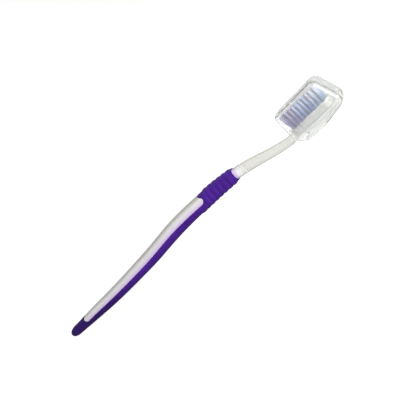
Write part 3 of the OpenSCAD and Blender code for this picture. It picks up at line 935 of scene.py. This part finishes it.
# The filaments of a tuft: a sunflower spread that fans out towards the tips.
copies = node(bundle, "GeometryNodeDuplicateElements", {
    "Geometry": given["Geometry"], "Amount": given["Filaments"],
}, domain="POINT")
order = node(bundle, "ShaderNodeMath", {
    0: copies.outputs["Duplicate Index"], 1: 0.5,
}, operation="ADD").outputs[0]
portion = node(bundle, "ShaderNodeMath", {0: order, 1: given["Filaments"]}, operation="DIVIDE")
radius = node(bundle, "ShaderNodeMath", {0: portion.outputs[0]}, operation="SQRT").outputs[0]
turn = node(bundle, "ShaderNodeMath", {0: order, 1: golden_angle}, operation="MULTIPLY").outputs[0]
cosine = node(bundle, "ShaderNodeMath", {0: turn}, operation="COSINE")
sine = node(bundle, "ShaderNodeMath", {0: turn}, operation="SINE")
spread_x = node(bundle, "ShaderNodeMath", {0: cosine.outputs[0], 1: radius}, operation="MULTIPLY")
spread_y = node(bundle, "ShaderNodeMath", {0: sine.outputs[0], 1: radius}, operation="MULTIPLY")
disc = node(bundle, "ShaderNodeCombineXYZ", {"X": spread_x.outputs[0], "Y": spread_y.outputs[0]})
spread = node(bundle, "ShaderNodeVectorMath", {
    0: disc.outputs[0], "Scale": given["Root Spread"],
}, operation="SCALE").outputs[0]
placed = node(bundle, "FunctionNodeRotateVector", {"Vector": spread, "Rotation": given["Tilt"]})
roots = node(bundle, "GeometryNodeSetPosition", {
    "Geometry": copies.outputs[0], "Offset": placed.outputs[0],
})

length = node(bundle, "GeometryNodeInputNamedAttribute", {
    "Name": "tuft_height",
}, data_type="FLOAT").outputs[0]
fan_out = node(bundle, "ShaderNodeVectorMath", {0: spread, "Scale": given["Tip Splay"]}, operation="SCALE")
rise = node(bundle, "ShaderNodeCombineXYZ", {"Z": length})
lean = node(bundle, "ShaderNodeVectorMath", {0: fan_out.outputs[0], 1: rise.outputs[0]}, operation="ADD")
turned = node(bundle, "FunctionNodeRotateVector", {"Vector": lean.outputs[0], "Rotation": given["Tilt"]})
facing = node(bundle, "FunctionNodeAlignRotationToVector", {"Vector": turned.outputs[0]}, axis="Z")
size = node(bundle, "ShaderNodeCombineXYZ", {
    "X": given["Filament Diameter"], "Y": given["Filament Diameter"], "Z": length,
})
filaments = node(bundle, "GeometryNodeInstanceOnPoints", {
    "Points": roots.outputs[0], "Instance": rod.outputs[0],
    "Rotation": facing.outputs[0], "Scale": size.outputs[0],
})
filaments = node(bundle, "GeometryNodeRealizeInstances", {"Geometry": filaments.outputs[0]})

# Each filament bends its own way, more towards its tip.
share_up = node(bundle, "GeometryNodeInputNamedAttribute", {"Name": "along"}, data_type="FLOAT").outputs[0]
whose = node(bundle, "GeometryNodeInputMeshIsland").outputs["Island Index"]
way = node(bundle, "FunctionNodeRandomValue", {
    "Min": (-1, -1, 0), "Max": (1, 1, 0), "ID": whose, "Seed": given["Seed"],
}, data_type="FLOAT_VECTOR")
squared = node(bundle, "ShaderNodeMath", {0: share_up, 1: 2.0}, operation="POWER")
amount = node(bundle, "ShaderNodeMath", {0: squared.outputs[0], 1: given["Bend"]}, operation="MULTIPLY")
bend = node(bundle, "ShaderNodeVectorMath", {
    0: way.outputs[0], "Scale": amount.outputs[0],
}, operation="SCALE")
filaments = node(bundle, "GeometryNodeSetPosition", {
    "Geometry": filaments.outputs[0], "Offset": bend.outputs[0],
})

# A tuft can fan out towards the neck, from the mouth of its hole up, some filaments more than others.
fan_reach = node(bundle, "GeometryNodeInputNamedAttribute", {"Name": "tuft_lean"}, data_type="FLOAT")
how_far = node(bundle, "FunctionNodeRandomValue", {
    2: least_lean, 3: 1.0, "ID": whose, "Seed": given["Seed"],
}, data_type="FLOAT")
sideways = node(bundle, "ShaderNodeMath", {
    0: fan_reach.outputs[0], 1: how_far.outputs[1],
}, operation="MULTIPLY")
above_hole = node(bundle, "ShaderNodeMapRange", {
    "Value": share_up, "From Min": given["Hole Share"], "To Max": sideways.outputs[0],
})
lean_back = node(bundle, "ShaderNodeCombineXYZ", {"X": above_hole.outputs[0]})
filaments = node(bundle, "GeometryNodeSetPosition", {
    "Geometry": filaments.outputs[0], "Offset": lean_back.outputs[0],
})
filaments = node(bundle, "GeometryNodeSetShadeSmooth", {"Geometry": filaments.outputs[0]})
filaments = node(bundle, "GeometryNodeSetMaterial", {
    "Geometry": filaments.outputs[0], "Material": given["Material"],
})
node(bundle, "NodeGroupOutput", {"Geometry": filaments.outputs[0]})


def tip_height(x):
    """Length of a filament from its hole's floor to the trimmed tips, in millimetres."""
    rise = trim_rise * (x - field_x) / (head_l - 2 * field_x)
    height = tip_z + rise - head_z - x * math.sin(head_tilt)
    return height / math.cos(head_tilt) - head_t / 2 + hole_depth - root_gap


def nylon(name, root, middle, tip):
    """Nylon 6.12 monofilament: dyed through, glossy and a little clear. Its colour has painted shade towards
    the root and painted light towards the tip.
    """
    material, tree = new_material(name)
    height = node(tree, "ShaderNodeAttribute", attribute_name="along").outputs["Fac"]
    # Painted shade and light: dark at the root, where the tufts shade each other, and pale at the lit tip.
    dye_and_shade = node(tree, "ShaderNodeValToRGB", {0: height}, stops=[
        (0.2, colour(root)), (0.75, colour(middle)), (1, colour(tip)),
    ])
    surface = node(tree, "ShaderNodeBsdfPrincipled", {
        "Base Color": dye_and_shade.outputs[0],
        "Roughness": 0.25,
        "IOR": 1.53,
        "Transmission Weight": 0.12,
    })
    node(tree, "ShaderNodeOutputMaterial", {"Surface": surface.outputs[0]})
    return material


def plant_tufts(name, rows, material, seed):
    """Makes the filaments of some rows of tufts as one piece."""
    places = [place for place in tuft_places if place[0] in rows]
    floor = -hole_depth + head_t / 2 + root_gap
    mesh = bpy.data.meshes.new(name)
    mesh.from_pydata([in_frame(from_head(x, y, floor)) for row, column, x, y in places], [], [])
    heights = mesh.attributes.new("tuft_height", "FLOAT", "POINT")
    leans = mesh.attributes.new("tuft_lean", "FLOAT", "POINT")
    for number, (row, column, x, y) in enumerate(places):
        heights.data[number].value = tip_height(x) * MM
        leans.data[number].value = -first_lean * MM if row == 0 else 0
    piece = bpy.data.objects.new(name, mesh)
    scene.collection.objects.link(piece)
    grow = piece.modifiers.new("filaments", "NODES")
    grow.node_group = bundle
    for key, value in {
        "Filaments": filaments_per_tuft,
        "Filament Diameter": filament_d * MM,
        "Root Spread": root_spread * MM,
        "Tip Splay": tip_splay - 1,
        "Bend": tip_bend * MM,
        "Hole Share": hole_share,
        "Material": material,
        "Seed": seed,
    }.items():
        grow[inputs[key]] = value
    grow[inputs["Tilt"]] = (0, -head_tilt, 0)
    apply_modifiers(piece)
    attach(piece, "brush")
    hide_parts(*[f"tuft_{row + 1}_{column + 1}" for row, column, x, y in places])


violet = nylon("violet_nylon_filament", "#362a80", "#6a60ae", "#aaa5ce")
blue = nylon("blue_nylon_filament", "#283f94", "#6884c8", "#b4c0e0")
teal = nylon("teal_nylon_filament", "#4a74a2", "#8ca6ca", "#dadcec")
plant_tufts("violet_bristles", range(0, 3), violet, 1)
plant_tufts("blue_bristles", range(3, 7), blue, 2)
plant_tufts("teal_bristles", range(7, 10), teal, 3)


# Head cover
# A slip-on cover of clear polypropylene, moulded in one piece with a draft: a rounded box, open towards the
# neck, with a cut corner under the neck, an air slot in its far end and four rails that ride on the head.

mouth_offset = 0.4
mouth_x = head_x + mouth_offset
mouth_slab = 0.1
cover_l = 31
cover_w = 14.4
cover_h = 19.1
cover_wall = 1.1
cover_r = 2.7
cover_flat_l = 14.5
cover_rise = 2.2
cover_slant = 3.4
cover_crown = 0.8
corner_extra = 1.8
corner_steps = 9
cover_draft = 0.8
lip_cut = 4.6
vent_w = 5
vent_h = 2
vent_z = 6.6
pad_depth = 0.3
rail_start = 1
rail_l = 23
rail_t = 0.9
rail_lap = 0.5
rail_gap = 0.2
ball_sides = 48
flat_within = math.radians(0.05)
cutter_half_w = 15


def ball(centre, radius):
    """Points of a sphere, ring by ring along X."""
    points = []
    rings = ball_sides // 2
    for i in range(rings + 1):
        polar = math.pi * i / rings
        for k in range(ball_sides if 0 < i < rings else 1):
            turn = 2 * math.pi * k / ball_sides
            points.append(Vector(centre) + radius * Vector((
                math.cos(polar), math.sin(polar) * math.cos(turn), math.sin(polar) * math.sin(turn)
            )))
    return points


def hoop(centre, radius, thickness):
    """Points of a disc that stands across X."""
    turns = [2 * math.pi * k / ball_sides for k in range(ball_sides)]
    return [
        Vector(centre) + Vector((dx, radius * math.cos(turn), radius * math.sin(turn)))
        for dx in (0, thickness) for turn in turns
    ]


def hull(name, points):
    """Tight skin round a set of points, with its flat faces merged."""
    made = make_solid(name, [], [])
    shape = bmesh.new()
    for point in points:
        shape.verts.new(in_frame(point))
    found = bmesh.ops.convex_hull(shape, input=shape.verts)
    inside = {v for v in found["geom_interior"] + found["geom_unused"] if isinstance(v, bmesh.types.BMVert)}
    bmesh.ops.delete(shape, geom=[v for v in inside if v.is_valid], context="VERTS")
    bmesh.ops.remove_doubles(shape, verts=shape.verts, dist=weld * MM)
    bmesh.ops.dissolve_limit(shape, angle_limit=flat_within, verts=shape.verts, edges=shape.edges)
    bmesh.ops.recalc_face_normals(shape, faces=shape.faces)
    shape.to_mesh(made.data)
    shape.free()
    return made


def corner_arc(x, y, z, start, radius):
    """Points of a far corner: balls on an arc, which make it rounder in side view than the other edges."""
    points = []
    for i in range(corner_steps + 1):
        angle = start + math.pi / 2 * i / corner_steps
        points += ball((x + corner_extra * math.cos(angle), y, z + corner_extra * math.sin(angle)), radius)
    return points


def cover_block(name, depth, reach):
    """The cover's outer block, or its hollow at a wall's depth, which reaches out of the mouth."""
    radius = cover_r - depth
    mouth_y = cover_w / 2 - cover_r
    far_y = mouth_y - cover_draft / 2
    flat_y = mix(mouth_y, far_y, cover_flat_l / cover_l)
    far_x = mouth_x + cover_l - cover_r - corner_extra
    far_z = cover_rise + cover_r + corner_extra
    low_z = cover_r - pad_depth
    high_z = cover_h - cover_r
    top_x = far_x - cover_slant
    top_z = high_z + (top_x - mouth_x) * math.tan(head_tilt) + cover_crown
    points = []
    for side in (-1, 1):
        for z in (low_z, high_z):
            points += hoop((mouth_x - reach, side * mouth_y, z), radius, mouth_slab)
        points += ball((mouth_x + cover_flat_l, side * flat_y, low_z), radius)
        points += corner_arc(far_x, side * far_y, far_z, -math.pi / 2, radius)
        points += corner_arc(top_x, side * far_y, top_z - corner_extra, 0, radius)
    return hull(name, points)


def prism(name, outline):
    """Cutter across the whole brush with an outline of (x, z) points."""
    points = [Vector((x, y, z)) for y in (-cutter_half_w, cutter_half_w) for x, z in outline]
    return make_solid(name, points, loop_faces(2, len(outline)))


cover = cover_block("cover", 0, 0)
hollow = cover_block("hollow", cover_wall, spare)
before_mouth = mouth_x - spare
past_cover = mouth_x + cover_l + spare
pad = prism("pad", [
    (before_mouth, -2 * spare), (past_cover, -2 * spare), (past_cover, 0), (before_mouth, 0),
])
lip = prism("lip", [
    (before_mouth, -spare), (mouth_x + lip_cut + spare, -spare), (before_mouth, lip_cut + spare),
])
slot_x = mouth_x + cover_l - cover_slant - 2 * cover_r
slot_steps = 24
slot_points = []
for x in (slot_x, past_cover):
    for side in (-1, 1):
        for k in range(slot_steps + 1):
            angle = math.pi * k / slot_steps
            slot_points.append(Vector((
                x,
                side * ((vent_w - vent_h) / 2 + vent_h / 2 * math.sin(angle)),
                vent_z + side * vent_h / 2 * math.cos(angle),
            )))
vent = make_solid("vent", slot_points, loop_faces(2, 2 * (slot_steps + 1)))
combine(cover, "DIFFERENCE", hollow, pad, lip, vent)

rail_in = head_r - rail_lap
rail_out = (cover_w - cover_draft - cover_wall) / 2
rail_w = rail_out - rail_in
rails = []
for y in (rail_in, -rail_out):
    for z in (head_t / 2 + rail_gap, -head_t / 2 - rail_gap - rail_t):
        corners = [
            from_head(mouth_offset + rail_start + dx, y + dy, z + dz)
            for dx in (0, rail_l)
            for dy, dz in ((0, 0), (rail_w, 0), (rail_w, rail_t), (0, rail_t))
        ]
        rails.append(make_solid("rail", corners, loop_faces(2, len(corners) // 2)))
combine(cover, "UNION", *rails)

# Polypropylene, moulded thin: clear but a little milky, soft in its reflections, and a greenish grey where
# the light runs along the wall.
haze_size = 4

cover_plastic, tree = new_material("milky_clear_polypropylene")
place = node(tree, "ShaderNodeTexCoord").outputs["Object"]
haze = node(tree, "ShaderNodeTexNoise", {"Vector": place, "Scale": 1 / (haze_size * MM), "Detail": 2})
rough = node(tree, "ShaderNodeMapRange", {"Value": haze.outputs["Fac"], "To Min": 0.1, "To Max": 0.18})
ripple = node(tree, "ShaderNodeBump", {
    "Height": haze.outputs["Fac"], "Strength": 0.1, "Distance": 0.02 * MM,
})
surface = node(tree, "ShaderNodeBsdfPrincipled", {
    "Base Color": colour("#edeeec"),
    "Roughness": rough.outputs[0],
    "IOR": 1.49,
    "Transmission Weight": 0.93,
    "Normal": ripple.outputs[0],
})
clear_surface(tree, surface, colour("#c4cbc4"), 20)

finish_piece(cover, "slip_on_cover", cover_plastic, "cover", ["head_cover"])
